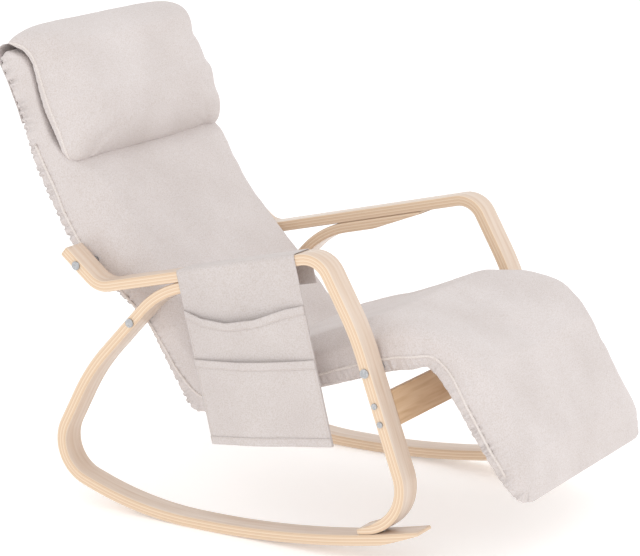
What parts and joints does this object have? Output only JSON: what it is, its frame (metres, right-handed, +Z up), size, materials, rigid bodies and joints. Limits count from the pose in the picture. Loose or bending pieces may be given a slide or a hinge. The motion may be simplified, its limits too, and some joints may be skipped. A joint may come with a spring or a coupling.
{
  "type": "rocking lounge chair with adjustable footrest",
  "caption": "Bentwood rocking lounge chair with a padded seat and back, hinged footrest, head pillow and a side pocket over one arm.",
  "frame": {"origin": "floor level under the middle of the chair's bounding box, at the foot of the rockers", "axes": "+X is the sitter's left, +Y points to the back of the chair (the chair faces -Y), +Z up"},
  "size_m": [0.6865, 1.1714, 0.9528],
  "materials": {
    "birch_laminate": "satin",
    "slat_board": "matte",
    "cream_canvas": "matte",
    "bag_canvas": "matte",
    "zinc_steel": "satin",
    "hinge_steel": "satin"
  },
  "bodies": {
    "frame": {"back_pad": "cream_canvas", "back_slats": "slat_board", "back_top_rail": "birch_laminate", "crossbar_bolts": "zinc_steel", "frame_bolts": "zinc_steel", "frame_spacers": "zinc_steel", "front_crossbar": "birch_laminate", "hinge_pins": "hinge_steel", "lap_screws": "zinc_steel", "left_arm_leg": "birch_laminate", "left_hinge_seat_leaf": "hinge_steel", "left_rocker": "birch_laminate", "left_seat_back_rail": "birch_laminate", "right_arm_leg": "birch_laminate", "right_hinge_seat_leaf": "hinge_steel", "right_rocker": "birch_laminate", "right_seat_back_rail": "birch_laminate", "seat_front_rail": "birch_laminate", "seat_leaf_screws": "zinc_steel", "seat_pad": "cream_canvas", "seat_slats": "slat_board"},
    "footrest": {"foot_leaf_screws": "zinc_steel", "footrest_pad": "cream_canvas", "footrest_slats": "slat_board", "footrest_toe_rail": "birch_laminate", "left_footrest_rail": "birch_laminate", "left_hinge_foot_leaf": "hinge_steel", "right_footrest_rail": "birch_laminate", "right_hinge_foot_leaf": "hinge_steel"},
    "headrest": {"headrest_flap": "cream_canvas", "headrest_pillow": "cream_canvas"},
    "side_pocket": {"bag_arm_band": "bag_canvas", "bag_front_pocket": "bag_canvas", "bag_inner_flap": "bag_canvas", "bag_panel": "bag_canvas", "bag_rear_pocket": "bag_canvas"}
  },
  "joints": [
    {"name": "footrest_hinge", "type": "hinge", "parent": "frame", "child": "footrest", "pos_m": [0, -0.40361, 0.4142], "axis": [-1, 0, 0], "range_deg": [-15, 45]},
    {"name": "headrest_lift", "type": "slide", "parent": "frame", "child": "headrest", "axis": [0, 0.2723, 0.9622], "range_m": [0, 0.15]},
    {"name": "side_pocket_lift", "type": "slide", "parent": "frame", "child": "side_pocket", "axis": [0, 0.2368, 0.9715], "range_m": [0, 0.08]}
  ]
}
